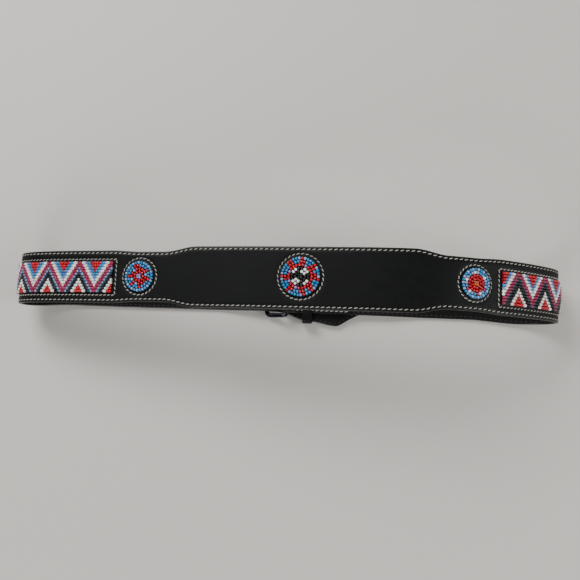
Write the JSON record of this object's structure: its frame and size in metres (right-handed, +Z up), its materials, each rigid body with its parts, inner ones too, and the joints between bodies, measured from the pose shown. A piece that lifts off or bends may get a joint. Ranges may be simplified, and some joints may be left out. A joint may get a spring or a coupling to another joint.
{
  "type": "beaded belt",
  "caption": "Black leather belt buckled into a flattened loop, with a wide front, two zigzag bead panels, three round bead medallions, a wire buckle and a keeper.",
  "frame": {"origin": "middle of the bounding box in X and Y, at the surface that the belt's buckle side lies on", "axes": "+X along the loop, with the buckle's tongue pointing to +X; +Y across the strap; +Z up, out of the beaded front"},
  "size_m": [0.4536, 0.0524, 0.098],
  "materials": {
    "strap_leather": "smooth semi-matte black",
    "zigzag_beads": "opaque glossy seed beads in red, white, blue, rose and black",
    "red_blue_beads": "opaque glossy seed beads in red, blue, black and white",
    "blue_beads": "opaque glossy seed beads in blue with a red centre",
    "dark_metal": "dark gunmetal"
  },
  "bodies": {
    "root": {"strap": "strap_leather", "bead_panel_left": "zigzag_beads", "bead_panel_right": "zigzag_beads", "medallion_middle": "red_blue_beads", "medallion_left": "blue_beads", "medallion_right": "blue_beads", "buckle_frame": "dark_metal", "buckle_prong": "dark_metal", "keeper": "strap_leather"}
  },
  "joints": []
}
